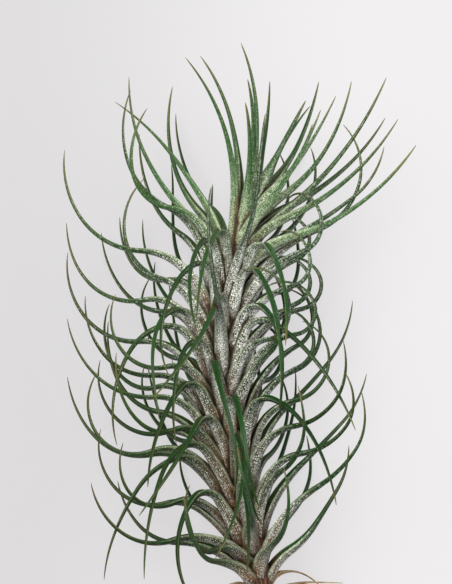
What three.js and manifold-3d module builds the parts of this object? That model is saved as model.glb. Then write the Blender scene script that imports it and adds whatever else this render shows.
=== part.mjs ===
// Tillandsia funckiana, an air plant, cut from its clump and laid on its side.
// Millimetres. +Y runs from the cut end to the growing tip, +Z is up, the floor is z = 0.
// The plant is one leafy stem: narrow channelled leaves stand round it at the golden angle,
// hug it, arch away and curl. Below the living leaves a short length of stem is withered,
// with dried leaves that hang back towards the cut.

import * as THREE from 'three';
import ManifoldModule from 'manifold-3d';

// Driving dimensions

// The stem's line: end points and handles of a cubic curve, before the plant is centred
const STEM_LINE = [
  new THREE.Vector3(9.0, -76.0, 20.0),
  new THREE.Vector3(6.0, -48.0, 22.0),
  new THREE.Vector3(-9.0, -16.0, 24.0),
  new THREE.Vector3(5.0, 17.0, 25.0),
];
const STEM_RADIUS = 4.2;
const STEM_CUT_RADIUS = 2.6;
const STEM_TIP_RADIUS = 1.3;
const STEM_SWELL_END = 0.3;
const STEM_TAPER_START = 0.8;
const STEM_SIDES = 8;
const STEM_RINGS = 10;

// Where the withered length ends and the living one starts, as a share of the line
const WITHERED_END = 0.145;
const LIVING_START = 0.1495;

// The centre of the finished plant's box on the floor, which becomes the origin
const PLANT_CENTRE = new THREE.Vector2(2.322, -13.915);

const GOLDEN_ANGLE = 2.39996;
const LEAF_ROOT_DEPTH = 0.62;
const PATH_STEPS = 50;
const RING_STEPS = [0, 9, 15, 21, 28, 35, 43];

const LIVING = {
  seed: 31,
  count: 120,
  first: 0.166,
  last: 1.0,
  length: 46,
};

// The crown's young leaves, the youngest last: azimuth from the right towards the upper side,
// lean away from the stem at the foot and at the tip, all in degrees, and length
const CROWN = [
  [172, 60, 14, 46],
  [8, 64, 18, 46],
  [205, 56, 2, 43],
  [185, 42, 66, 42],
  [352, 40, 6, 50],
  [255, 35, 50, 36],
  [20, 52, 20, 44],
  [150, 22, 62, 43],
  [60, 44, 10, 36],
  [332, 50, 20, 43],
  [200, 16, 58, 42],
  [100, 34, 52, 33],
  [8, 32, -10, 40],
  [285, 18, 40, 34],
  [165, 6, 46, 39],
  [45, 28, 2, 33],
  [130, 22, 44, 31],
  [320, 18, -16, 33],
  [220, 10, 26, 29],
  [80, 14, 20, 26],
];

const DRIED = {
  seed: 41,
  count: 26,
  first: 0.02,
  last: 0.13,
  length: 19,
};

// Leaves that come down to the floor bend along it within this distance
const FLOOR_REACH = 5.0;
const FLOOR_CLEARANCE = 0.05;

const LIVING_COLOUR = 0x6f7a5e;
const DRIED_COLOUR = 0xa08660;

const manifoldModule = await ManifoldModule();
manifoldModule.setup();
const { Manifold, Mesh } = manifoldModule;

// Growth

// A repeatable row of draws, each between -1 and 1
class Draws {
  constructor(seed) {
    this.state = seed >>> 0;
  }

  next() {
    this.state = (Math.imul(this.state, 1664525) + 1013904223) >>> 0;
    return (2 * this.state) / 4294967296 - 1;
  }
}

const { lerp, smoothstep, degToRad } = THREE.MathUtils;

const stemLine = new THREE.CubicBezierCurve3(...STEM_LINE);

// The value at u of a curve given by [u, value] keys with straight runs between them
function valueAt(keys, u) {
  for (let k = 1; k < keys.length; k += 1) {
    const [start, low] = keys[k - 1];
    const [end, high] = keys[k];
    if (u <= end) {
      return lerp(low, high, (u - start) / (end - start));
    }
  }
  return keys[keys.length - 1][1];
}

function stemRadius(share) {
  const swollen = lerp(STEM_CUT_RADIUS, STEM_RADIUS, smoothstep(share, 0, STEM_SWELL_END));
  return lerp(swollen, STEM_TIP_RADIUS, smoothstep(share, STEM_TAPER_START, 1));
}

// A grown leaf hugs the stem, spreads, then curls: up on the left, back on the right. Many of
// those in front fold over and hang. The crown's young leaves stand in a fan.
function livingLeaf(index, draws) {
  const age = 1 - index / (LIVING.count - 1);
  const row = Array.from({ length: 7 }, () => draws.next());
  const [turn, stretch, open, curl, fold, drift, girth] = row;
  const azimuth = index * GOLDEN_ANGLE + 0.26 * turn;
  const sideways = Math.cos(azimuth);
  const right = Math.max(0, sideways);
  const left = Math.max(0, -sideways);
  const front = Math.sin(azimuth);
  const youth = smoothstep(1 - age, 0.72, 0.9);
  const elder = smoothstep(age, 0.6, 0.82);
  const oldest = smoothstep(age, 0.8, 1.0);
  const share = lerp(LIVING.last, LIVING.first, age);
  const young = CROWN[index - LIVING.count + CROWN.length];
  if (young) {
    const [aside, foot, end, length] = young;
    return {
      share,
      azimuth: degToRad(aside + 6 * turn),
      length,
      bend: [[0, 0.4 * foot], [0.3, foot + 4 * open], [0.65, (foot + end) / 2], [1, end + 5 * curl]],
      sway: degToRad(14 * drift),
      girth: 1.0 + 0.2 * girth,
    };
  }
  const hooked = right * (1 - elder) * smoothstep(age, 0.18, 0.32);
  const parted = 68 + 14 * left - 4 * right + 12 * hooked;
  const spread = parted + 12 * age * (1 - oldest) + 18 * open;
  const raised = -30 + 6 * left + 24 * right + 30 * youth * (1 - right);
  const tip = raised - 115 * hooked + 36 * curl;
  const folds = front > 0.45 && fold > -0.4 && age < 0.9;
  const folded = [
    [0, 12],
    [0.26, 30 + 8 * open],
    [0.42, 112 + 20 * girth],
    [0.6, 142 + 16 * curl],
    [1, 186 + 54 * curl],
  ];
  const curled = [
    [0, 14 + 18 * oldest],
    [0.24, 39 + 10 * girth + 24 * oldest],
    [0.44 + 0.08 * hooked, spread],
    [0.72, (spread + tip) / 2 - 6 * left + 16 * (right - hooked)],
    [1, tip],
  ];
  return {
    share,
    azimuth,
    length: LIVING.length * (1 + 0.14 * stretch) * lerp(1, 0.85, oldest),
    bend: folds ? folded : curled,
    sway: degToRad(folds ? 80 * drift - 16 * sideways : 58 * drift),
    girth: 1 + 0.08 * girth,
  };
}

// A dried leaf is short and thin and hangs back towards the cut
function driedLeaf(index, draws) {
  const along = index / (DRIED.count - 1);
  const [turn, stretch, open, curl, drift] = Array.from({ length: 5 }, () => draws.next());
  return {
    share: lerp(DRIED.first, DRIED.last, along),
    azimuth: index * GOLDEN_ANGLE + 0.3 * turn,
    length: DRIED.length * (1 + 0.3 * stretch),
    bend: [[0, 45], [0.25, 80 + 8 * open], [0.6, 112 + 12 * open], [1, 125 + 35 * curl]],
    sway: degToRad(40 * drift),
    girth: 0.8 + 0.1 * open,
  };
}

// Walks along a leaf from inside the stem and returns its stations, each with a centre,
// the direction across the blade and the direction of its inner face
function leafPath(leaf) {
  const along = stemLine.getTangent(leaf.share);
  const stemRight = new THREE.Vector3().crossVectors(along, new THREE.Vector3(0, 0, 1)).normalize();
  const stemFront = new THREE.Vector3().crossVectors(stemRight, along);
  const out = stemRight.clone().multiplyScalar(Math.cos(leaf.azimuth));
  out.addScaledVector(stemFront, Math.sin(leaf.azimuth));
  const side = new THREE.Vector3().crossVectors(along, out);
  const place = stemLine.getPoint(leaf.share);
  place.addScaledVector(out, LEAF_ROOT_DEPTH * stemRadius(leaf.share));
  const across = side.clone();
  const stations = [];
  for (let step = 0; step < PATH_STEPS; step += 1) {
    const u = (step + 0.5) / PATH_STEPS;
    const bend = degToRad(valueAt(leaf.bend, u));
    const sway = leaf.sway * u * u;
    const heading = along.clone().multiplyScalar(Math.cos(bend));
    heading.addScaledVector(out, Math.sin(bend) * Math.cos(sway));
    heading.addScaledVector(side, Math.sin(bend) * Math.sin(sway));
    heading.z = Math.max(heading.z, (FLOOR_CLEARANCE - place.z) / FLOOR_REACH);
    heading.normalize();
    across.addScaledVector(heading, -across.dot(heading)).normalize();
    const inner = new THREE.Vector3().crossVectors(heading, across);
    if (step === 0) {
      stations.push({ u: 0, centre: place.clone(), across: across.clone(), inner: inner.clone() });
    }
    place.addScaledVector(heading, leaf.length / PATH_STEPS);
    stations.push({ u: (step + 1) / PATH_STEPS, centre: place.clone(), across: across.clone(), inner });
  }
  return stations;
}

// Half the blade's width at u
function halfWidth(u) {
  return 1.2 * (1 - smoothstep(u, 0, 0.56)) + 0.66 * (1 - u) ** 0.42;
}

// Solids

function solid(points, faces) {
  return new Manifold(new Mesh({
    numProp: 3,
    vertProperties: new Float32Array(points.flatMap((point) => point.toArray())),
    triVerts: new Uint32Array(faces.flat()),
  }));
}

// A closed skin over rings of points that run from the first ring to the last
function skin(rings, apex) {
  const sides = rings[0].length;
  const points = rings.flat();
  const faces = [];
  const corner = (ring, side) => ring * sides + (side % sides);
  for (let ring = 0; ring + 1 < rings.length; ring += 1) {
    for (let side = 0; side < sides; side += 1) {
      faces.push([corner(ring, side), corner(ring, side + 1), corner(ring + 1, side + 1)]);
      faces.push([corner(ring, side), corner(ring + 1, side + 1), corner(ring + 1, side)]);
    }
  }
  for (let side = 1; side + 1 < sides; side += 1) {
    faces.push([corner(0, sides - 1), corner(0, side), corner(0, side - 1)]);
  }
  const last = rings.length - 1;
  points.push(apex);
  for (let side = 0; side < sides; side += 1) {
    faces.push([corner(last, side), corner(last, side + 1), points.length - 1]);
  }
  return solid(points, faces);
}

// The blade: keeled below and channelled above at its base, nearly round at its tip
function blade(leaf) {
  const stations = leafPath(leaf);
  const rings = [];
  for (const step of RING_STEPS) {
    const { u, centre, across, inner } = stations[step];
    const half = Math.max(0.3, halfWidth(u) * leaf.girth);
    const thickness = 0.62 + 0.5 * (1 - u) ** 2;
    const channel = lerp(-0.1, thickness / 2, Math.min(1, 1.6 * u));
    const lift = 0.5 * half * (1 - u);
    rings.push([
      centre.clone().addScaledVector(across, -half).addScaledVector(inner, lift),
      centre.clone().addScaledVector(inner, channel - thickness),
      centre.clone().addScaledVector(across, half).addScaledVector(inner, lift),
      centre.clone().addScaledVector(inner, channel),
    ]);
  }
  return skin(rings, stations[PATH_STEPS].centre);
}

// The stem between two shares of its line
function stemLength(start, end, ringCount) {
  const rings = [];
  for (let ring = 0; ring < ringCount; ring += 1) {
    const share = lerp(start, end, ring / (ringCount - 1));
    const centre = stemLine.getPoint(share);
    const along = stemLine.getTangent(share);
    const right = new THREE.Vector3().crossVectors(along, new THREE.Vector3(0, 0, 1)).normalize();
    const front = new THREE.Vector3().crossVectors(right, along);
    const radius = stemRadius(share);
    rings.push(Array.from({ length: STEM_SIDES }, (_, side) => {
      const angle = (2 * Math.PI * side) / STEM_SIDES;
      const point = centre.clone().addScaledVector(right, -radius * Math.cos(angle));
      return point.addScaledVector(front, radius * Math.sin(angle));
    }));
  }
  return skin(rings, stemLine.getPoint(end));
}

// Leaves and stem as one body, pressed flat where it lies on the floor. The pockets that
// the leaf roots close off inside it are filled: the body with the most volume is its skin.
function growTogether(pieces) {
  const shells = Manifold.union(pieces).trimByPlane([0, 0, 1], 0).simplify(0.02).decompose();
  return shells.reduce((most, shell) => (shell.volume() > most.volume() ? shell : most));
}

function geometryOf(body) {
  const mesh = body.getMesh();
  const geometry = new THREE.BufferGeometry();
  geometry.setAttribute('position', new THREE.BufferAttribute(mesh.vertProperties, mesh.numProp));
  geometry.setIndex(new THREE.BufferAttribute(mesh.triVerts, 1));
  geometry.computeVertexNormals();
  return geometry;
}

function growLeaves(plan, rule) {
  const draws = new Draws(plan.seed);
  return Array.from({ length: plan.count }, (_, index) => blade(rule(index, draws)));
}

const leafyStem = new THREE.Mesh(
  geometryOf(growTogether([
    stemLength(LIVING_START, 1, STEM_RINGS),
    ...growLeaves(LIVING, livingLeaf),
  ])),
  new THREE.MeshStandardMaterial({ color: LIVING_COLOUR, roughness: 0.75, metalness: 0 }),
);
leafyStem.name = 'leafy_stem';

const witheredBase = new THREE.Mesh(
  geometryOf(growTogether([
    stemLength(0, WITHERED_END, 3),
    ...growLeaves(DRIED, driedLeaf),
  ])),
  new THREE.MeshStandardMaterial({ color: DRIED_COLOUR, roughness: 0.9, metalness: 0 }),
);
witheredBase.name = 'withered_base';

const plant = new THREE.Group();
plant.name = 'tillandsia_funckiana';
plant.add(leafyStem, witheredBase);
plant.position.set(-PLANT_CENTRE.x, -PLANT_CENTRE.y, 0);

export default plant;
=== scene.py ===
"""A Tillandsia funckiana, an air plant cut from its clump, lying on a pale surface.

Every leaf is bent from one blank along the path that the growth rule gives it. The rule and
its numbers are those of the solids, in millimetres, with +Y from the cut end to the growing
tip and +Z up from the surface. The camera looks straight down on the plant.
"""

import logging
import math
from collections.abc import Iterable
from dataclasses import dataclass, field
from enum import Enum
from typing import Any

import bmesh
import bpy
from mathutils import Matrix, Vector
from mathutils.bvhtree import BVHTree


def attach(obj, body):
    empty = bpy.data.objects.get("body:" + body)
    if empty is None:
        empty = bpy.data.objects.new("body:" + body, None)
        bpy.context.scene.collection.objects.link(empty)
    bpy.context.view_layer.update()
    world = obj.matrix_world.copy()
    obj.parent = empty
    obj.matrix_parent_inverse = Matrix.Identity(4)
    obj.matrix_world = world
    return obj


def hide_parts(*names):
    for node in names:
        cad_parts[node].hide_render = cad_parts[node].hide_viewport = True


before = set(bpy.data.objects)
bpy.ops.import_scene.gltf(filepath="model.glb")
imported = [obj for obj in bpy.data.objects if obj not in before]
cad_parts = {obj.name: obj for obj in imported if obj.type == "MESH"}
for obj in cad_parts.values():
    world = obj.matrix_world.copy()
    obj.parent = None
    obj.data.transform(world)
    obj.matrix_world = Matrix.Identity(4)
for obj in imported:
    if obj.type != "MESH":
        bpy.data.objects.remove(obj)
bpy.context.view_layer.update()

LOG = logging.getLogger("tillandsia")

MM = 0.001
GOLDEN_ANGLE = 2.39996
# The row's origin in the growth frame, in millimetres
PLANT_CENTRE = Vector((2.322, -13.915, 0.0))
# How many straight steps make up a leaf's path
PATH_STEPS = 50


# Small helpers


def mix(low: float, high: float, share: float) -> float:
    """Return the value that lies at share between low and high."""
    return low + (high - low) * share


def smooth(value: float, start: float, end: float) -> float:
    """Return 0 before start, 1 after end and a smooth step between them."""
    share = min(1.0, max(0.0, (value - start) / (end - start)))
    return share * share * (3.0 - 2.0 * share)


def linear(code: str) -> tuple[float, float, float, float]:
    """Turn an sRGB hex colour into linear red, green, blue and alpha.

    Args:
        code: The colour as six hex digits after a number sign.

    Returns:
        The colour as Blender's sockets take it.
    """
    parts = [int(code[k : k + 2], 16) / 255.0 for k in (1, 3, 5)]
    red, green, blue = (
        part / 12.92 if part <= 0.04045 else ((part + 0.055) / 1.055) ** 2.4 for part in parts
    )
    return (red, green, blue, 1.0)


def add_node(
    tree: bpy.types.NodeTree,
    kind: str,
    inputs: dict[str | int, Any] | None = None,
    **settings: Any,
) -> bpy.types.Node:
    """Add a shader node, set it up and link it.

    Args:
        tree: The node tree that takes the node.
        kind: The node's Blender type.
        inputs: For each socket by name or number, a value to set or a socket to link from.
        settings: The node's own properties. A ramp's stops are pairs of place and hex colour.

    Returns:
        The new node.
    """
    node = tree.nodes.new(kind)
    for name, value in settings.items():
        if name == "stops":
            elements = node.color_ramp.elements
            while len(elements) < len(value):
                elements.new(0.5)
            for element, (place, code) in zip(elements, value):
                element.position = place
                element.color = linear(code)
        else:
            setattr(node, name, value)
    for key, value in (inputs or {}).items():
        socket = node.inputs[key]
        if isinstance(value, bpy.types.NodeSocket):
            tree.links.new(value, socket)
        else:
            socket.default_value = value
    return node


# Growth


class Draws:
    """A repeatable row of numbers, each between -1 and 1."""

    def __init__(self, seed: int) -> None:
        """Start the row at its seed."""
        self.state = seed

    def next(self) -> float:
        """Return the next number of the row."""
        self.state = (self.state * 1664525 + 1013904223) % 2**32
        return 2.0 * self.state / 2**32 - 1.0

    def row(self, count: int) -> list[float]:
        """Return the next count numbers."""
        return [self.next() for _ in range(count)]


@dataclass(frozen=True)
class StemLine:
    """The stem's curved line and how thick the stem is along it, in millimetres."""

    handles: tuple[Vector, ...] = (
        Vector((9.0, -76.0, 20.0)),
        Vector((6.0, -48.0, 22.0)),
        Vector((-9.0, -16.0, 24.0)),
        Vector((5.0, 17.0, 25.0)),
    )
    cut_radius: float = 2.6
    full_radius: float = 4.2
    tip_radius: float = 1.3
    swell_end: float = 0.3
    taper_start: float = 0.8

    def point(self, share: float) -> Vector:
        """Return the place at a share of the line."""
        rest = 1.0 - share
        weights = (rest**3, 3 * rest**2 * share, 3 * rest * share**2, share**3)
        return sum((handle * weight for handle, weight in zip(self.handles, weights)), Vector())

    def axes(self, share: float) -> tuple[Vector, Vector, Vector]:
        """Return the directions along the stem, to its right and to its upper side."""
        low, high = max(0.0, share - 1e-4), min(1.0, share + 1e-4)
        along = (self.point(high) - self.point(low)).normalized()
        right = along.cross(Vector((0.0, 0.0, 1.0))).normalized()
        return along, right, right.cross(along)

    def radius(self, share: float) -> float:
        """Return the stem's radius at a share of the line."""
        swollen = mix(self.cut_radius, self.full_radius, smooth(share, 0.0, self.swell_end))
        return mix(swollen, self.tip_radius, smooth(share, self.taper_start, 1.0))


@dataclass(frozen=True)
class Leaf:
    """One leaf's place and form: angles in degrees away from the stem, lengths in mm."""

    share: float
    azimuth: float
    length: float
    bend: tuple[tuple[float, float], ...]
    sway: float
    girth: float
    youth: float = 0.0

    def bend_at(self, u: float) -> float:
        """Return the leaf's angle away from the stem at u of its length, in radians."""
        for (start, low), (end, high) in zip(self.bend, self.bend[1:]):
            if u <= end:
                return math.radians(mix(low, high, (u - start) / (end - start)))
        return math.radians(self.bend[-1][1])


@dataclass(frozen=True)
class LivingGrowth:
    """The rule that places the living leaves from the oldest to the youngest.

    The crown's young leaves are given one by one, the youngest last: azimuth from the right
    towards the upper side, lean away from the stem at the foot and at the tip, and length.
    """

    seed: int = 31
    count: int = 120
    first: float = 0.166
    last: float = 1.0
    length: float = 46.0
    crown: tuple[tuple[float, float, float, float], ...] = (
        (172, 60, 14, 46),
        (8, 64, 18, 46),
        (205, 56, 2, 43),
        (185, 42, 66, 42),
        (352, 40, 6, 50),
        (255, 35, 50, 36),
        (20, 52, 20, 44),
        (150, 22, 62, 43),
        (60, 44, 10, 36),
        (332, 50, 20, 43),
        (200, 16, 58, 42),
        (100, 34, 52, 33),
        (8, 32, -10, 40),
        (285, 18, 40, 34),
        (165, 6, 46, 39),
        (45, 28, 2, 33),
        (130, 22, 44, 31),
        (320, 18, -16, 33),
        (220, 10, 26, 29),
        (80, 14, 20, 26),
    )

    def leaf(self, index: int, draws: Draws) -> Leaf:
        """Grow one leaf.

        Args:
            index: Its rank, 0 for the oldest.
            draws: The row of draws, of which it takes seven.

        Returns:
            The leaf.
        """
        row = draws.row(7)
        young = index - self.count + len(self.crown)
        if young >= 0:
            return self.crown_leaf(index, self.crown[young], row)
        return self.grown_leaf(index, row)

    def age(self, index: int) -> float:
        """Return a leaf's age by its rank, 1 for the oldest and 0 for the youngest."""
        return 1.0 - index / (self.count - 1)

    def crown_leaf(
        self, index: int, plan: tuple[float, float, float, float], row: list[float]
    ) -> Leaf:
        """Grow one of the young leaves, which stand in a fan.

        Args:
            index: Its rank.
            plan: Its azimuth, its lean at the foot and at the tip, and its length.
            row: Its seven draws.

        Returns:
            The leaf.
        """
        turn, _, opening, curl, _, drift, girth = row
        aside, foot, end, length = plan
        return Leaf(
            share=mix(self.last, self.first, self.age(index)),
            azimuth=math.radians(aside + 6 * turn),
            length=length,
            bend=(
                (0.0, 0.4 * foot),
                (0.3, foot + 4 * opening),
                (0.65, (foot + end) / 2),
                (1.0, end + 5 * curl),
            ),
            sway=math.radians(14 * drift),
            girth=1.0 + 0.2 * girth,
            youth=1.0,
        )

    def grown_leaf(self, index: int, row: list[float]) -> Leaf:
        """Grow a leaf that hugs the stem, spreads and then curls, or folds over and hangs.

        Args:
            index: Its rank.
            row: Its seven draws.

        Returns:
            The leaf.
        """
        age = self.age(index)
        turn, stretch, opening, curl, fold, drift, girth = row
        azimuth = index * GOLDEN_ANGLE + 0.26 * turn
        sideways = math.cos(azimuth)
        right, left = max(0.0, sideways), max(0.0, -sideways)
        youth = smooth(1.0 - age, 0.72, 0.9)
        elder, oldest = smooth(age, 0.6, 0.82), smooth(age, 0.8, 1.0)
        hooked = right * (1 - elder) * smooth(age, 0.18, 0.32)
        parted = 68 + 14 * left - 4 * right + 12 * hooked
        spread = parted + 12 * age * (1 - oldest) + 18 * opening
        raised = -30 + 6 * left + 24 * right + 30 * youth * (1 - right)
        tip = raised - 115 * hooked + 36 * curl
        folds = math.sin(azimuth) > 0.45 and fold > -0.4 and age < 0.9
        if folds:
            bend = (
                (0.0, 12.0),
                (0.26, 30 + 8 * opening),
                (0.42, 112 + 20 * girth),
                (0.6, 142 + 16 * curl),
                (1.0, 186 + 54 * curl),
            )
        else:
            bend = (
                (0.0, 14 + 18 * oldest),
                (0.24, 39 + 10 * girth + 24 * oldest),
                (0.44 + 0.08 * hooked, spread),
                (0.72, (spread + tip) / 2 - 6 * left + 16 * (right - hooked)),
                (1.0, tip),
            )
        return Leaf(
            share=mix(self.last, self.first, age),
            azimuth=azimuth,
            length=self.length * (1 + 0.14 * stretch) * mix(1, 0.85, oldest),
            bend=bend,
            sway=math.radians(80 * drift - 16 * sideways if folds else 58 * drift),
            girth=1 + 0.08 * girth,
            youth=youth,
        )


@dataclass(frozen=True)
class DriedGrowth:
    """The rule that places the dried leaves of the cut end, which hang back to the cut."""

    seed: int = 41
    count: int = 26
    first: float = 0.02
    last: float = 0.13
    length: float = 19.0

    def leaf(self, index: int, draws: Draws) -> Leaf:
        """Grow one dried leaf.

        Args:
            index: Its rank, 0 for the one nearest the cut.
            draws: The row of draws, of which it takes five.

        Returns:
            The leaf.
        """
        turn, stretch, opening, curl, drift = draws.row(5)
        angles = (45, 80 + 8 * opening, 112 + 12 * opening, 125 + 35 * curl)
        return Leaf(
            share=mix(self.first, self.last, index / (self.count - 1)),
            azimuth=index * GOLDEN_ANGLE + 0.3 * turn,
            length=self.length * (1 + 0.3 * stretch),
            bend=tuple(zip((0.0, 0.25, 0.6, 1.0), angles)),
            sway=math.radians(40 * drift),
            girth=0.8 + 0.1 * opening,
        )


@dataclass(frozen=True)
class Station:
    """One stop along a leaf: its centre, the way across the blade and its inner face."""

    centre: Vector
    across: Vector
    inner: Vector


@dataclass(frozen=True)
class Bedding:
    """How a leaf leaves the stem, and how it bends where it comes down to the surface."""

    root_depth: float = 0.62
    reach: float = 5.0
    clearance: float = 0.05

    def walk(self, leaf: Leaf, stem: StemLine) -> list[Station]:
        """Follow a leaf from inside the stem to its tip.

        Args:
            leaf: The leaf.
            stem: The stem that it grows from.

        Returns:
            One station for each step of the path, and one at its start.
        """
        along, right, front = stem.axes(leaf.share)
        out = right * math.cos(leaf.azimuth) + front * math.sin(leaf.azimuth)
        side = along.cross(out)
        place = stem.point(leaf.share) + out * (self.root_depth * stem.radius(leaf.share))
        across = side.copy()
        stations: list[Station] = []
        for step in range(PATH_STEPS):
            u = (step + 0.5) / PATH_STEPS
            bend, sway = leaf.bend_at(u), leaf.sway * u * u
            swayed = out * math.cos(sway) + side * math.sin(sway)
            heading = along * math.cos(bend) + swayed * math.sin(bend)
            heading.z = max(heading.z, (self.clearance - place.z) / self.reach)
            heading.normalize()
            across = (across - heading * across.dot(heading)).normalized()
            inner = heading.cross(across)
            if step == 0:
                stations.append(Station(place.copy(), across.copy(), inner))
            place = place + heading * (leaf.length / PATH_STEPS)
            stations.append(Station(place.copy(), across.copy(), inner))
        return stations


# Leaf forms


class LeafKind(Enum):
    """The two kinds of leaf, which differ in how full their tissue is."""

    LIVING = "living"
    DRIED = "dried"


@dataclass(frozen=True)
class BladeForm:
    """The blade's section: keeled below, channelled above, nearly round at the tip."""

    kind: LeafKind
    sides: int = 12
    tip_half: float = 0.05

    def half_width(self, u: float) -> float:
        """Return half the blade's width at u, in millimetres."""
        base = 1.2 * (1 - smooth(u, 0.0, 0.56))
        return max(self.tip_half, base + 0.66 * max(0.0, 1 - u) ** 0.42)

    def place(self, station: Station, leaf: Leaf, u: float, turn: tuple[float, float]) -> Vector:
        """Return a point of the blade's skin.

        Args:
            station: The stop of the leaf's path that carries the section.
            leaf: The leaf.
            u: How far along the leaf the section is, from 0 to 1.
            turn: The point's cosine and sine round the section.

        Returns:
            The point, in millimetres in the growth frame.
        """
        across, rise = turn
        half = self.half_width(u) * leaf.girth
        thickness = min(0.62 + 0.5 * (1 - u) ** 2, 1.7 * half)
        channel = mix(-0.12, thickness / 2, smooth(u, 0.2, 1.0))
        lift = 0.62 * half * math.sqrt(1 - u)
        if self.kind is LeafKind.DRIED:
            thickness *= 0.62
            lift += 0.3 * half * math.sin(9 * u + leaf.azimuth)
        middle = mix(channel - thickness / 2, lift, across * across)
        height = middle + rise * thickness / 2
        return station.centre + station.across * (across * half) + station.inner * height


class LeafBlank:
    """A closed tube of quads, one unit long and round, that every leaf is bent from."""

    def __init__(self, sides: int, segments: int, name: str) -> None:
        """Make the blank.

        Args:
            sides: How many faces go round it.
            segments: How many faces go along it.
            name: Its mesh's name.
        """
        shape = bmesh.new()
        bmesh.ops.create_cone(
            shape, cap_ends=True, segments=sides, radius1=1.0, radius2=1.0, depth=1.0
        )
        bmesh.ops.translate(shape, verts=shape.verts, vec=(0.0, 0.0, 0.5))
        lengthwise = [
            edge for edge in shape.edges if abs(edge.verts[0].co.z - edge.verts[1].co.z) > 0.5
        ]
        bmesh.ops.subdivide_edges(shape, edges=lengthwise, cuts=segments - 1, use_grid_fill=True)
        for face in shape.faces:
            face.smooth = True
        self.segments = segments
        self.mesh = bpy.data.meshes.new(name)
        shape.to_mesh(self.mesh)
        shape.free()


def finish_piece(
    shape: bmesh.types.BMesh, name: str, finish: bpy.types.Material
) -> bpy.types.Object:
    """Turn a finished shape into an object of the scene.

    Args:
        shape: The shape, in metres in the row's frame. It is freed.
        name: The object's name.
        finish: Its material.

    Returns:
        The object, at the origin.
    """
    mesh = bpy.data.meshes.new(name)
    shape.to_mesh(mesh)
    shape.free()
    mesh.materials.append(finish)
    piece = bpy.data.objects.new(name, mesh)
    bpy.context.scene.collection.objects.link(piece)
    return piece


def in_row_frame(point: Vector) -> Vector:
    """Move a point from the growth frame to the row's, in metres and never below the surface."""
    place = (point - PLANT_CENTRE) * MM
    place.z = max(place.z, 0.0)
    return place


@dataclass
class LeafSheaf:
    """Leaves that are bent from one blank and joined in one mesh."""

    name: str
    form: BladeForm
    blank: LeafBlank
    stem: StemLine
    bedding: Bedding = field(default_factory=Bedding)
    nook_mm: float = 3.0
    nook_end: float = 0.6
    nook_rays: int = 7
    nook_lift_mm: float = 0.06
    tint_seed: int = 977
    grain_apart_mm: float = 61.0

    def build(self, leaves: Iterable[Leaf], finish: bpy.types.Material) -> bpy.types.Object:
        """Bend every leaf and join them.

        Args:
            leaves: The leaves.
            finish: Their material.

        Returns:
            The sheaf's object.
        """
        tints = Draws(self.tint_seed)
        shape = bmesh.new()
        shape.verts.layers.float_color.new("blade")
        shape.verts.layers.float_color.new("growth")
        shape.verts.layers.float_vector.new("straight")
        for rank, leaf in enumerate(leaves):
            self.bend_leaf(shape, leaf, rank, tints.row(3))
        self.note_nooks(shape)
        return finish_piece(shape, self.name, finish)

    def note_nooks(self, shape: bmesh.types.BMesh) -> None:
        """Note how closely other leaves hem each place in, as the alpha of its blade colour.

        Args:
            shape: The mesh of all the leaves.
        """
        # The leaf finish turns this closeness into painted shade and browning in the nooks.
        blade = shape.verts.layers.float_color["blade"]
        shape.normal_update()
        leaves = BVHTree.FromBMesh(shape)
        reach = self.nook_mm * MM
        for vert in shape.verts:
            if vert[blade][0] > self.nook_end:
                continue
            side = vert.normal.orthogonal()
            other = vert.normal.cross(side)
            start = vert.co + vert.normal * (self.nook_lift_mm * MM)
            closeness = 0.0
            for turn in range(self.nook_rays):
                angle = 2 * math.pi * turn / self.nook_rays
                way = vert.normal + side * math.cos(angle) + other * math.sin(angle)
                gap = leaves.ray_cast(start, way, reach)[3]
                closeness += 1.0 - gap / reach if gap is not None else 0.0
            vert[blade] = (*vert[blade][:3], closeness / self.nook_rays)

    def bend_leaf(
        self, shape: bmesh.types.BMesh, leaf: Leaf, rank: int, tints: list[float]
    ) -> None:
        """Add one leaf, bent from the blank along its path.

        Args:
            shape: The mesh that takes it.
            leaf: The leaf.
            rank: Its place in the sheaf, which sets its grain apart from the others'.
            tints: Three draws that colour it.
        """
        blade = shape.verts.layers.float_color["blade"]
        growth = shape.verts.layers.float_color["growth"]
        straight = shape.verts.layers.float_vector["straight"]
        rightness = 0.5 + 0.5 * math.cos(leaf.azimuth)
        vigour = 0.5 * smooth(leaf.share, 0.35, 0.75) + 0.5 * leaf.youth
        stations = self.bedding.walk(leaf, self.stem)
        stride = PATH_STEPS // self.blank.segments
        start = len(shape.verts)
        shape.from_mesh(self.blank.mesh)
        shape.verts.ensure_lookup_table()
        own = [(tint + 1) / 2 for tint in tints]
        for vert in shape.verts[start:]:
            ring = round(vert.co.z * self.blank.segments) * stride
            u = ring / PATH_STEPS
            turn = (vert.co.x, vert.co.y)
            half = self.form.half_width(u)
            vert[blade] = (u, 0.5 + 0.5 * turn[0], 0.5 + 0.5 * turn[1], 0.0)
            vert[growth] = (
                vigour,
                own[0],
                # Leaves that point right get a fuller coat of scales, so they are drawn lighter.
                mix(own[1], rightness, 0.6),
                mix(own[2], 1 - rightness, 0.7),
            )
            way = u * leaf.length + self.grain_apart_mm * rank
            vert[straight] = (turn[0] * half, way, turn[1] * half)
            vert.co = in_row_frame(self.form.place(stations[ring], leaf, u, turn))


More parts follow.
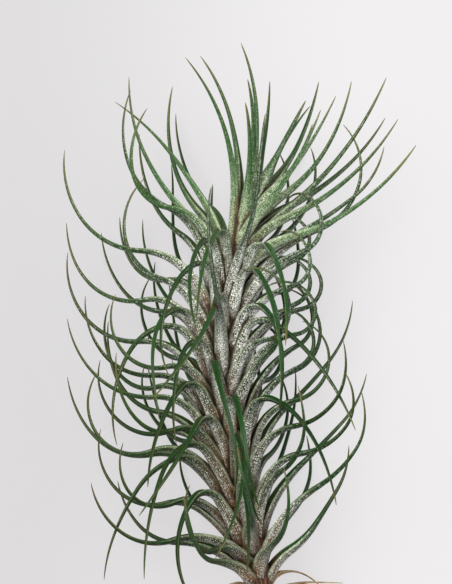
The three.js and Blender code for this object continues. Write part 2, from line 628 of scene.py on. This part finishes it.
@dataclass
class StemLength:
    """A length of the stem itself, between two shares of its line."""

    name: str
    start: float
    end: float
    stem: StemLine
    slimness: float = 0.8
    sides: int = 16
    segments: int = 50
    rind_mm: float = 0.45
    sunk_mm: float = 0.3

    def build(
        self, finish: bpy.types.Material, pith: bpy.types.Material | None = None
    ) -> bpy.types.Object:
        """Bend the length of stem along its line.

        Args:
            finish: Its material.
            pith: The material of its cut face, where it has one, inside the rind.

        Returns:
            The length's object.
        """
        blank = LeafBlank(self.sides, self.segments, self.name + "_blank")
        shape = bmesh.new()
        blade = shape.verts.layers.float_color.new("blade")
        shape.from_mesh(blank.mesh)
        for vert in shape.verts:
            share = mix(self.start, self.end, vert.co.z)
            _, right, front = self.stem.axes(share)
            radius = self.slimness * self.stem.radius(share)
            vert[blade] = (vert.co.z, 0.5 + 0.5 * vert.co.x, 0.5 + 0.5 * vert.co.y, 1.0)
            offset = (front * vert.co.y - right * vert.co.x) * radius
            vert.co = in_row_frame(self.stem.point(share) + offset)
        if pith is None:
            return finish_piece(shape, self.name, finish)
        shape.normal_update()
        caps = [face for face in shape.faces if len(face.verts) == self.sides]
        cut = min(caps, key=lambda face: face.calc_center_median().y)
        cut.smooth = False
        bmesh.ops.inset_individual(
            shape, faces=[cut], thickness=self.rind_mm * MM, depth=-self.sunk_mm * MM
        )
        cut.material_index = 1
        piece = finish_piece(shape, self.name, finish)
        piece.data.materials.append(pith)
        return piece


# Finishes


@dataclass(frozen=True)
class LeafReadings:
    """What the shader reads at each place on a leaf.

    Attributes:
        along: The way from the foot, 0, to the tip, 1.
        aged: The same, with its steps mottled.
        face: 0 on the outer face and 1 on the inner one.
        inside: 1 where the skin belongs to the inner face.
        edge: The way from the crest, 0, to the blade's edge, 0.5.
        margin: How much of the pale margin shows.
        nook: How closely other leaves hem the place in.
        youth: 1 on the crown's leaves.
        elder: 1 on the leaves of the stem's lower third.
        tint: The leaf's own lightness.
        coat: The leaf's fullness of scales, greater on the leaves that point right.
        warmth: The leaf's own share of olive.
        streak: Fine streaks along the leaf.
        straight: The place on the leaf laid out straight, in millimetres.
    """

    along: bpy.types.NodeSocket
    aged: bpy.types.NodeSocket
    face: bpy.types.NodeSocket
    inside: bpy.types.NodeSocket
    edge: bpy.types.NodeSocket
    margin: bpy.types.NodeSocket
    nook: bpy.types.NodeSocket
    youth: bpy.types.NodeSocket
    elder: bpy.types.NodeSocket
    tint: bpy.types.NodeSocket
    coat: bpy.types.NodeSocket
    warmth: bpy.types.NodeSocket
    streak: bpy.types.NodeSocket
    straight: bpy.types.NodeSocket


@dataclass(frozen=True)
class TrichomeLeaf:
    """Succulent leaf tissue under a coat of silver trichome scales.

    The scales are drawn fuller along the middle of each face and sparser towards its edges, a
    painted highlight down the crest; the crest of the outer face looks grey-white and matt.
    They thin out towards the tip and on the inner face, where the green tissue shows and shines
    a little. In the nooks between leaves they thin out too and the tissue browns, partly the
    colour of sheltered tissue and partly painted shade. The real scales are about 0.1 mm
    across. They are drawn 0.22 mm apart, so that the grain shows.

    Attributes:
        coat_reach: How far a scale fills its cell, at the foot and from mid-blade on.
        coat_veil: How densely the scales cover, at the foot and from mid-blade on.
        wear: The brightness of the dullest and of the brightest scale.
        lightness: The brightness of the darkest and of the lightest leaf's tissue.
        roughness: That of bare tissue and that of the coat.
    """

    name: str = "trichome_leaf"
    scale_spacing_mm: float = 0.22
    scale_height_mm: float = 0.06
    coat_reach: tuple[float, float] = (0.61, 0.215)
    coat_veil: tuple[float, float] = (1.0, 0.32)
    wear: tuple[float, float] = (0.5, 1.3)
    lightness: tuple[float, float] = (0.7, 1.25)
    roughness: tuple[float, float] = (0.5, 0.85)
    streak_mm: float = 0.5
    mottle_mm: float = 4.0
    outer_tissue: tuple[tuple[float, str], ...] = (
        (0.0, "#2A1A0C"),
        (0.08, "#60442A"),
        (0.17, "#4E422A"),
        (0.27, "#323C22"),
        (0.42, "#183412"),
        (0.65, "#08380C"),
        (0.9, "#184210"),
        (1.0, "#6E5E2C"),
    )
    inner_tissue: tuple[tuple[float, str], ...] = (
        (0.0, "#3A2410"),
        (0.1, "#283E16"),
        (0.3, "#144A12"),
        (0.75, "#0E3E0E"),
        (0.95, "#224A18"),
        (1.0, "#6E5E2C"),
    )
    young_tissue: tuple[tuple[float, str], ...] = (
        (0.0, "#4A2812"),
        (0.08, "#56542C"),
        (0.3, "#3A5A30"),
        (0.8, "#224820"),
        (1.0, "#5C5C2A"),
    )
    olive: str = "#2C3810"
    scale_colour: str = "#EEF1E6"
    young_scale_colour: str = "#A4B293"
    margin_tissue: tuple[tuple[float, str], ...] = (
        (0.0, "#C0CAB0"),
        (0.25, "#A0AC84"),
        (0.5, "#244416"),
        (1.0, "#6E5E2C"),
    )
    groove_shade_colour: str = "#0C220E"
    nook_brown_and_shade: str = "#6E4E2C"

    def make(self) -> bpy.types.Material:
        """Build the material.

        Returns:
            The material.
        """
        material = bpy.data.materials.new(self.name)
        material.use_nodes = True
        tree = material.node_tree
        tree.nodes.clear()
        leaf = self.read_leaf(tree)
        tissue = self.colour_tissue(tree, leaf)
        cover, silver = self.grow_scales(tree, leaf)
        self.dress_skin(tree, leaf, tissue, cover, silver)
        return material

    def read_leaf(self, tree: bpy.types.NodeTree) -> LeafReadings:
        """Read what the mesh carries, and add the grain: mottling, and streaks along each leaf.

        Args:
            tree: The material's node tree.

        Returns:
            The readings.
        """
        blade = add_node(tree, "ShaderNodeAttribute", attribute_name="blade")
        parts = add_node(tree, "ShaderNodeSeparateColor", {0: blade.outputs["Color"]})
        growth = add_node(tree, "ShaderNodeAttribute", attribute_name="growth")
        nature = add_node(tree, "ShaderNodeSeparateColor", {0: growth.outputs["Color"]})
        straight = add_node(tree, "ShaderNodeAttribute", attribute_name="straight")
        along, across, face = parts.outputs[0], parts.outputs[1], parts.outputs[2]
        vigour = nature.outputs[0]
        youth = add_node(
            tree, "ShaderNodeMapRange", {0: vigour, 1: 0.5, 2: 1.0, 3: 0.0, 4: 1.0}
        )
        elder = add_node(
            tree, "ShaderNodeMapRange", {0: vigour, 1: 0.0, 2: 0.5, 3: 1.0, 4: 0.0}
        )
        inside = add_node(
            tree, "ShaderNodeMapRange", {0: face, 1: 0.5, 2: 0.72, 3: 0.0, 4: 1.0}
        )
        edge = add_node(
            tree, "ShaderNodeMath", {0: across, 1: 0.5}, operation="SUBTRACT"
        )
        edge = add_node(tree, "ShaderNodeMath", {0: edge.outputs[0]}, operation="ABSOLUTE")
        margin = add_node(
            tree, "ShaderNodeMapRange", {0: edge.outputs[0], 1: 0.4, 2: 0.49, 3: 0.0, 4: 0.7}
        )
        mottle = add_node(
            tree,
            "ShaderNodeTexNoise",
            {
                "Vector": add_node(tree, "ShaderNodeTexCoord").outputs["Object"],
                "Scale": 1 / (self.mottle_mm * MM),
                "Detail": 3.0,
            },
        )
        shift = add_node(
            tree,
            "ShaderNodeMapRange",
            {0: mottle.outputs[0], 1: 0.3, 2: 0.7, 3: -0.06, 4: 0.06},
        )
        aged = add_node(
            tree, "ShaderNodeMath", {0: along, 1: shift.outputs[0]}, operation="ADD"
        )
        drawn_out = add_node(
            tree,
            "ShaderNodeMapping",
            {"Vector": straight.outputs["Vector"], "Scale": (1.0, 0.05, 1.0)},
        )
        streak = add_node(
            tree,
            "ShaderNodeTexNoise",
            {"Vector": drawn_out.outputs[0], "Scale": 1 / self.streak_mm, "Detail": 2.0},
        )
        return LeafReadings(
            along=along,
            aged=aged.outputs[0],
            face=face,
            inside=inside.outputs[0],
            edge=edge.outputs[0],
            margin=margin.outputs[0],
            nook=blade.outputs["Alpha"],
            youth=youth.outputs[0],
            elder=elder.outputs[0],
            tint=nature.outputs[1],
            coat=nature.outputs[2],
            warmth=growth.outputs["Alpha"],
            streak=streak.outputs[0],
            straight=straight.outputs["Vector"],
        )

    def colour_tissue(
        self, tree: bpy.types.NodeTree, leaf: LeafReadings
    ) -> bpy.types.NodeSocket:
        """Colour the tissue: brown at the sheath, green along the blade, olive at the tip.

        The groove of the inner face is darkened as painted shade. The nooks are browned, partly
        as the colour of sheltered tissue and partly as painted shade. The margins are pale.

        Args:
            tree: The material's node tree.
            leaf: The readings.

        Returns:
            The colour under the scales.
        """
        outer = add_node(tree, "ShaderNodeValToRGB", {0: leaf.aged}, stops=self.outer_tissue)
        inner = add_node(tree, "ShaderNodeValToRGB", {0: leaf.aged}, stops=self.inner_tissue)
        young = add_node(tree, "ShaderNodeValToRGB", {0: leaf.aged}, stops=self.young_tissue)
        rim = add_node(tree, "ShaderNodeValToRGB", {0: leaf.aged}, stops=self.margin_tissue)
        sunned = add_node(
            tree,
            "ShaderNodeMath",
            {0: leaf.warmth, 1: leaf.along, 2: -0.12},
            operation="MULTIPLY_ADD",
        )
        # Nooks between leaves are browned: partly the colour of sheltered tissue, partly painted
        # shade.
        hemmed_brown_and_shade = add_node(
            tree, "ShaderNodeMapRange", {0: leaf.nook, 1: 0.03, 2: 0.32, 3: 0.0, 4: 0.9}
        )
        tissue = outer.outputs[0]
        for share, colour in (
            (leaf.inside, inner.outputs[0]),
            (sunned.outputs[0], linear(self.olive)),
            (leaf.youth, young.outputs[0]),
            (hemmed_brown_and_shade.outputs[0], linear(self.nook_brown_and_shade)),
        ):
            blend = add_node(
                tree, "ShaderNodeMix", {0: share, 6: tissue, 7: colour}, data_type="RGBA"
            )
            tissue = blend.outputs[2]
        light = add_node(
            tree,
            "ShaderNodeMapRange",
            {0: leaf.tint, 1: 0.0, 2: 1.0, 3: self.lightness[0], 4: self.lightness[1]},
        )
        light = add_node(
            tree,
            "ShaderNodeMath",
            {0: leaf.streak, 1: 0.5, 2: light.outputs[0]},
            operation="MULTIPLY_ADD",
        )
        light = add_node(
            tree, "ShaderNodeMath", {0: light.outputs[0], 1: 0.25}, operation="SUBTRACT"
        )
        toned = add_node(
            tree, "ShaderNodeHueSaturation", {"Color": tissue, "Value": light.outputs[0]}
        )
        # Painted shade: the middle of the inner face, down its groove, is drawn near-black
        # green.
        groove = add_node(
            tree, "ShaderNodeMapRange", {0: leaf.face, 1: 0.9, 2: 1.0, 3: 0.0, 4: 0.7}
        )
        groove_shaded = add_node(
            tree,
            "ShaderNodeMix",
            {0: groove.outputs[0], 6: toned.outputs[0], 7: linear(self.groove_shade_colour)},
            data_type="RGBA",
        )
        edged = add_node(
            tree,
            "ShaderNodeMix",
            {0: leaf.margin, 6: groove_shaded.outputs[2], 7: rim.outputs[0]},
            data_type="RGBA",
        )
        return edged.outputs[2]

    def grow_scales(
        self, tree: bpy.types.NodeTree, leaf: LeafReadings
    ) -> tuple[bpy.types.NodeSocket, bpy.types.NodeSocket]:
        """Grow the scales: a pattern's cells, each filled up to the reach of the coat there.

        Args:
            tree: The material's node tree.
            leaf: The readings.

        Returns:
            How far scales cover the tissue, and their colour.
        """
        cells = add_node(
            tree,
            "ShaderNodeTexVoronoi",
            {
                "Vector": leaf.straight,
                "Scale": 1 / self.scale_spacing_mm,
                "Randomness": 0.6,
            },
            voronoi_dimensions="2D",
        )
        lot = add_node(tree, "ShaderNodeSeparateColor", {0: cells.outputs["Color"]})
        reach = add_node(
            tree,
            "ShaderNodeMapRange",
            {0: leaf.along, 1: 0.1, 2: 0.44, 3: self.coat_reach[0], 4: self.coat_reach[1]},
        )
        foot = add_node(
            tree, "ShaderNodeMapRange", {0: leaf.along, 1: 0.05, 2: 0.28, 3: 1.0, 4: 0.0}
        )
        for source, least, most in (
            (leaf.coat, -0.14, 0.06),
            (lot.outputs[0], -0.19, 0.19),
            (leaf.streak, -0.08, 0.08),
            (leaf.inside, 0.0, -0.3),
            (leaf.youth, 0.0, -0.02),
            (leaf.elder, 0.0, -0.18),
            (leaf.margin, 0.0, 0.14),
            # Painted highlight: scales fuller along the middle of each face, sparser towards its
            # edges.
            (leaf.edge, 0.1, -0.38),
            (foot.outputs[0], 0.0, -0.24),
            # Scales thin out in the nooks, which darkens them: partly sheltered tissue, partly
            # painted shade.
            (leaf.nook, 0.06, -0.56),
        ):
            change = add_node(
                tree, "ShaderNodeMapRange", {0: source, 1: 0.0, 2: 1.0, 3: least, 4: most}
            )
            reach = add_node(
                tree,
                "ShaderNodeMath",
                {0: reach.outputs[0], 1: change.outputs[0]},
                operation="ADD",
            )
        room = add_node(
            tree,
            "ShaderNodeMath",
            {0: reach.outputs[0], 1: cells.outputs["Distance"]},
            operation="SUBTRACT",
        )
        filled = add_node(
            tree,
            "ShaderNodeMapRange",
            {0: room.outputs[0], 1: -0.15, 2: 0.15, 3: 0.0, 4: 0.94},
        )
        veil = add_node(
            tree,
            "ShaderNodeMapRange",
            {0: leaf.along, 1: 0.22, 2: 0.6, 3: self.coat_veil[0], 4: self.coat_veil[1]},
        )
        veil = add_node(
            tree,
            "ShaderNodeMath",
            {0: leaf.youth, 1: 0.25, 2: veil.outputs[0]},
            operation="MULTIPLY_ADD",
        )
        cover = add_node(
            tree,
            "ShaderNodeMath",
            {0: filled.outputs[0], 1: veil.outputs[0]},
            operation="MULTIPLY",
        )
        silver = add_node(
            tree,
            "ShaderNodeMix",
            {0: leaf.youth, 6: linear(self.scale_colour), 7: linear(self.young_scale_colour)},
            data_type="RGBA",
        )
        worn = add_node(
            tree,
            "ShaderNodeMapRange",
            {0: lot.outputs[1], 1: 0.0, 2: 1.0, 3: self.wear[0], 4: self.wear[1]},
        )
        bloom = add_node(
            tree,
            "ShaderNodeHueSaturation",
            {"Color": silver.outputs[2], "Value": worn.outputs[0]},
        )
        return cover.outputs[0], bloom.outputs[0]

    def dress_skin(
        self,
        tree: bpy.types.NodeTree,
        leaf: LeafReadings,
        tissue: bpy.types.NodeSocket,
        cover: bpy.types.NodeSocket,
        silver: bpy.types.NodeSocket,
    ) -> None:
        """Lay the scales on the tissue, and darken the nooks and the oldest leaves as painted
        shade.

        Args:
            tree: The material's node tree.
            leaf: The readings.
            tissue: The colour under the scales.
            cover: How far scales cover it.
            silver: Their colour.
        """
        coated = add_node(
            tree, "ShaderNodeMix", {0: cover, 6: tissue, 7: silver}, data_type="RGBA"
        )
        # Painted shade: the more closely other leaves hem a place in, the darker it is drawn,
        # down to a fifth.
        shade = add_node(
            tree, "ShaderNodeMapRange", {0: leaf.nook, 1: 0.05, 2: 0.42, 3: 1.0, 4: 0.2}
        )
        # Painted shade: the oldest leaves, those of the stem's lower third, are drawn darker;
        # with the nooks' painted shade it sets the brightness.
        painted_shade = add_node(
            tree, "ShaderNodeMapRange", {0: leaf.elder, 1: 0.0, 2: 1.0, 3: 1.0, 4: 0.82}
        )
        painted_shade = add_node(
            tree,
            "ShaderNodeMath",
            {0: shade.outputs[0], 1: painted_shade.outputs[0]},
            operation="MULTIPLY",
        )
        coated = add_node(
            tree,
            "ShaderNodeHueSaturation",
            {"Color": coated.outputs[2], "Value": painted_shade.outputs[0]},
        )
        gloss = add_node(
            tree,
            "ShaderNodeMapRange",
            {0: cover, 1: 0.0, 2: 0.8, 3: self.roughness[0], 4: self.roughness[1]},
        )
        relief = add_node(
            tree,
            "ShaderNodeBump",
            {"Strength": 0.7, "Distance": self.scale_height_mm * MM, "Height": cover},
        )
        skin = add_node(
            tree,
            "ShaderNodeBsdfPrincipled",
            {
                "Base Color": coated.outputs[0],
                "Roughness": gloss.outputs[0],
                "IOR": 1.4,
                "Specular IOR Level": 0.35,
                "Normal": relief.outputs[0],
            },
        )
        add_node(tree, "ShaderNodeOutputMaterial", {"Surface": skin.outputs[0]})


@dataclass(frozen=True)
class DriedLeaf:
    """Dead leaf and stem tissue: straw-brown, lustreless, with lengthwise fibres."""

    name: str = "dried_leaf"
    tones: tuple[str, str, str, str] = ("#5E4630", "#84694A", "#A58C66", "#C4B08A")
    blotch_mm: float = 2.2
    relief_mm: float = 0.12
    fibres: float = 0.12
    fibre_count: float = 40.0

    def make(self) -> bpy.types.Material:
        """Build the material.

        Returns:
            The material.
        """
        material = bpy.data.materials.new(self.name)
        material.use_nodes = True
        tree = material.node_tree
        tree.nodes.clear()
        blade = add_node(tree, "ShaderNodeAttribute", attribute_name="blade")
        parts = add_node(tree, "ShaderNodeSeparateColor", {0: blade.outputs["Color"]})
        place = add_node(tree, "ShaderNodeTexCoord").outputs["Object"]
        blotch = add_node(
            tree,
            "ShaderNodeTexNoise",
            {
                "Vector": place,
                "Scale": 1 / (self.blotch_mm * MM),
                "Detail": 5.0,
                "Roughness": 0.65,
            },
        )
        ridge = add_node(
            tree,
            "ShaderNodeMath",
            {0: parts.outputs[1], 1: self.fibre_count},
            operation="MULTIPLY",
        )
        ridge = add_node(tree, "ShaderNodeMath", {0: ridge.outputs[0]}, operation="SINE")
        mixture = add_node(
            tree,
            "ShaderNodeMath",
            {0: ridge.outputs[0], 1: self.fibres, 2: blotch.outputs[0]},
            operation="MULTIPLY_ADD",
        )
        colour = add_node(
            tree,
            "ShaderNodeValToRGB",
            {0: mixture.outputs[0]},
            stops=tuple(zip((0.3, 0.48, 0.6, 0.78), self.tones)),
        )
        relief = add_node(
            tree,
            "ShaderNodeBump",
            {"Strength": 0.7, "Distance": self.relief_mm * MM, "Height": mixture.outputs[0]},
        )
        skin = add_node(
            tree,
            "ShaderNodeBsdfPrincipled",
            {
                "Base Color": colour.outputs[0],
                "Roughness": 0.85,
                "IOR": 1.4,
                "Normal": relief.outputs[0],
            },
        )
        add_node(tree, "ShaderNodeOutputMaterial", {"Surface": skin.outputs[0]})
        return material


@dataclass(frozen=True)
class PaleSurface:
    """The matt white acrylic of a light table, which glows and keeps shadows faint.

    Its glow grows a little from the left to the right.
    """

    name: str = "lit_matt_acrylic"
    colour: str = "#616061"
    glow_colour: str = "#F3F1F2"
    glow: tuple[float, float] = (0.537, 0.7)
    glow_sides: tuple[float, float] = (-0.055, 0.035)

    def make(self) -> bpy.types.Material:
        """Build the material.

        Returns:
            The material.
        """
        material = bpy.data.materials.new(self.name)
        material.use_nodes = True
        tree = material.node_tree
        tree.nodes.clear()
        place = add_node(tree, "ShaderNodeTexCoord").outputs["Object"]
        sides = add_node(tree, "ShaderNodeSeparateXYZ", {0: place})
        glow = add_node(
            tree,
            "ShaderNodeMapRange",
            {
                0: sides.outputs[0],
                1: self.glow_sides[0],
                2: self.glow_sides[1],
                3: self.glow[0],
                4: self.glow[1],
            },
            interpolation_type="SMOOTHSTEP",
        )
        skin = add_node(
            tree,
            "ShaderNodeBsdfPrincipled",
            {
                "Base Color": linear(self.colour),
                "Roughness": 0.9,
                "Emission Color": linear(self.glow_colour),
                "Emission Strength": glow.outputs[0],
            },
        )
        add_node(tree, "ShaderNodeOutputMaterial", {"Surface": skin.outputs[0]})
        return material


# Sub-assemblies


@dataclass
class LeafyStem:
    """The living length of the plant: its stem, its grown leaves and its young crown."""

    stem: StemLine
    growth: LivingGrowth = field(default_factory=LivingGrowth)
    form: BladeForm = field(default_factory=lambda: BladeForm(LeafKind.LIVING))
    start: float = 0.1455

    def build(self) -> list[bpy.types.Object]:
        """Build the pieces that stand for the leafy stem.

        Returns:
            The grown leaves, the crown leaves and the stem.
        """
        finish = TrichomeLeaf().make()
        draws = Draws(self.growth.seed)
        leaves = [self.growth.leaf(index, draws) for index in range(self.growth.count)]
        blank = LeafBlank(self.form.sides, PATH_STEPS, "leaf_blank")
        grown = LeafSheaf("grown_leaves", self.form, blank, self.stem)
        crown = LeafSheaf("crown_leaves", self.form, blank, self.stem)
        core = StemLength("living_stem", self.start, 1.0, self.stem)
        bark = DriedLeaf("stem_bark", ("#24170E", "#3F2818", "#5E3D26", "#7A5A3E"))
        return [
            grown.build([leaf for leaf in leaves if leaf.youth < 1.0], finish),
            crown.build([leaf for leaf in leaves if leaf.youth >= 1.0], finish),
            core.build(bark.make()),
        ]


@dataclass
class WitheredBase:
    """The cut end: a bare length of stem with dried leaves that hang back."""

    stem: StemLine
    growth: DriedGrowth = field(default_factory=DriedGrowth)
    form: BladeForm = field(default_factory=lambda: BladeForm(LeafKind.DRIED))
    end: float = 0.145

    def build(self) -> list[bpy.types.Object]:
        """Build the pieces that stand for the withered base.

        Returns:
            The dried leaves and the cut stem.
        """
        draws = Draws(self.growth.seed)
        leaves = [self.growth.leaf(index, draws) for index in range(self.growth.count)]
        blank = LeafBlank(self.form.sides, PATH_STEPS // 2, "dried_blank")
        sheaf = LeafSheaf("dried_leaves", self.form, blank, self.stem)
        core = StemLength("cut_stem", 0.0, self.end, self.stem, slimness=1.0, segments=12)
        bark = DriedLeaf("cut_stem_bark", ("#4A3626", "#6E563C", "#8F7350", "#AE966E"))
        pith = DriedLeaf(
            "stem_pith",
            ("#7A6242", "#A08660", "#C2AA80", "#DCCAA2"),
            blotch_mm=0.6,
            fibres=0.0,
        )
        return [
            sheaf.build(leaves, DriedLeaf().make()),
            core.build(bark.make(), pith.make()),
        ]


# Studio


@dataclass
class Studio:
    """The pale surface, the soft lights and the camera over the plant."""

    px_mm: float = 0.21
    lens_mm: float = 100.0
    sensor_mm: float = 36.0
    frame_px: int = 584
    focus_height_mm: float = 25.0
    surface_m: float = 12.0
    air_glow: float = 0.12

    def build(self) -> None:
        """Set up the surface, the lights, the world and the camera."""
        self.lay_surface()
        self.hang_light("key_softbox", (-0.23, 0.24, 0.8), 0.7, 14.5)
        self.hang_light("side_softbox", (0.5, 0.05, 0.7), 0.4, 3.0)
        world = bpy.data.worlds.new("studio_air")
        world.use_nodes = True
        background = world.node_tree.nodes["Background"]
        background.inputs["Color"].default_value = linear("#FFFFFF")
        background.inputs["Strength"].default_value = self.air_glow
        bpy.context.scene.world = world
        bpy.context.scene.view_settings.view_transform = "Standard"
        self.set_camera()

    def lay_surface(self) -> None:
        """Lay the floor at height 0."""
        shape = bmesh.new()
        bmesh.ops.create_grid(shape, x_segments=1, y_segments=1, size=self.surface_m)
        finish_piece(shape, "surface", PaleSurface().make())

    def hang_light(
        self, name: str, place: tuple[float, float, float], size: float, power: float
    ) -> None:
        """Hang a square softbox that faces the plant.

        Args:
            name: The light's name.
            place: Where it hangs, in metres.
            size: Its side, in metres.
            power: Its power, in watts.
        """
        lamp = bpy.data.lights.new(name, "AREA")
        lamp.size = size
        lamp.energy = power
        light = bpy.data.objects.new(name, lamp)
        light.location = place
        light.rotation_euler = (-Vector(place)).to_track_quat("-Z", "Y").to_euler()
        bpy.context.scene.collection.objects.link(light)

    def set_camera(self) -> None:
        """Set the camera straight over the middle of the photograph's view."""
        view_mm = self.frame_px * self.px_mm
        distance_mm = view_mm * self.lens_mm / self.sensor_mm
        camera = bpy.data.cameras.new("camera")
        camera.lens = self.lens_mm
        camera.sensor_width = self.sensor_mm
        camera.dof.use_dof = False
        seat = bpy.data.objects.new("camera", camera)
        seat.location = (
            -PLANT_CENTRE.x * MM,
            -PLANT_CENTRE.y * MM,
            (self.focus_height_mm + distance_mm) * MM,
        )
        bpy.context.scene.collection.objects.link(seat)
        bpy.context.scene.camera = seat


def main() -> None:
    """Build the plant and its studio, and hide the solids that its pieces stand for."""
    logging.basicConfig(level=logging.INFO, format="%(message)s")
    Studio().build()
    stem = StemLine()
    for node, slot, assembly in (
        ("leafy_stem", "living_leaf", LeafyStem(stem)),
        ("withered_base", "dried_leaf", WitheredBase(stem)),
    ):
        for piece in assembly.build():
            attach(piece, "root")
            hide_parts(node)
            LOG.info("%s: %d faces for %s", piece.name, len(piece.data.polygons), node)


if __name__ == "__main__":
    main()
